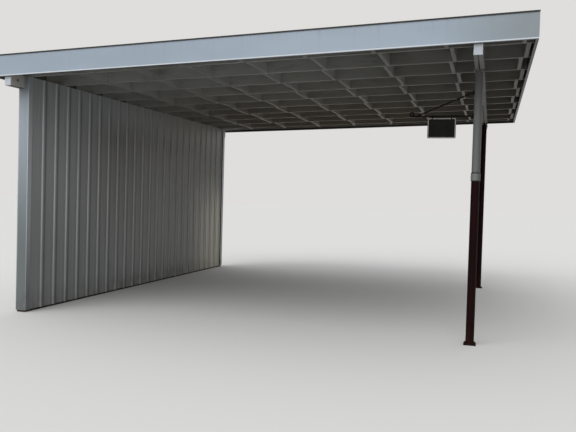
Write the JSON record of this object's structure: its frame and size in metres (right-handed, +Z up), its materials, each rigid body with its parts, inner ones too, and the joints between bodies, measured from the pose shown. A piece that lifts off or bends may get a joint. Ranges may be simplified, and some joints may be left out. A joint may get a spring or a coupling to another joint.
{
  "type": "carport",
  "caption": "Open carport with a low shed roof on one ribbed steel wall and two tube posts, with a hanging blank sign on a scroll bracket.",
  "frame": {"origin": "on the ground, at the middle of the roof's outline", "axes": "+X from the wall to the house side, +Y from the front to the rear, +Z up"},
  "size_m": [5.724, 6.11, 3.0684],
  "materials": {
    "painted_timber": "satin",
    "raw_timber": "matte",
    "fascia_white": "satin",
    "white_steel": "satin",
    "roofing": "matte",
    "dark_metal": "satin",
    "maroon_paint": "satin",
    "grey_paint": "satin",
    "black_iron": "satin",
    "sign_black": "satin"
  },
  "bodies": {
    "frame": {"rafter_01": "painted_timber", "rafter_02": "painted_timber", "rafter_03": "painted_timber", "rafter_04": "painted_timber", "rafter_05": "painted_timber", "rafter_06": "painted_timber", "rafter_07": "painted_timber", "rafter_08": "painted_timber", "rafter_09": "painted_timber", "rafter_10": "painted_timber", "front_rim": "painted_timber", "rear_rim": "painted_timber", "roof_deck": "painted_timber", "left_beam": "painted_timber", "right_beam": "painted_timber", "blocking_row_1": "painted_timber", "blocking_row_2": "painted_timber", "blocking_row_3": "painted_timber", "blocking_row_4": "painted_timber", "blocking_row_5": "painted_timber", "blocking_row_6": "painted_timber", "blocking_row_7": "painted_timber", "blocking_row_8": "painted_timber", "front_fascia": "fascia_white", "rear_fascia": "fascia_white", "left_fascia": "fascia_white", "right_fascia": "fascia_white", "roofing": "roofing", "drip_edge": "dark_metal", "sill_plate": "raw_timber", "top_plate": "raw_timber", "wall_studs": "raw_timber", "wall_girts": "raw_timber", "inner_cladding": "white_steel", "outer_cladding": "white_steel", "front_end_cap": "white_steel", "rear_end_cap": "white_steel", "front_post_lower": "maroon_paint", "rear_post": "maroon_paint", "front_post_upper": "grey_paint", "front_post_collar": "grey_paint", "sign_bracket": "black_iron"},
    "sign": {"sign_plate": "sign_black", "sign_hangers": "black_iron"}
  },
  "joints": [
    {"name": "sign_swing", "type": "hinge", "parent": "frame", "child": "sign", "pos_m": [2.019, -2.3192, 2.26652], "axis": [1, 0, 0], "range_deg": [-60, 60]}
  ]
}
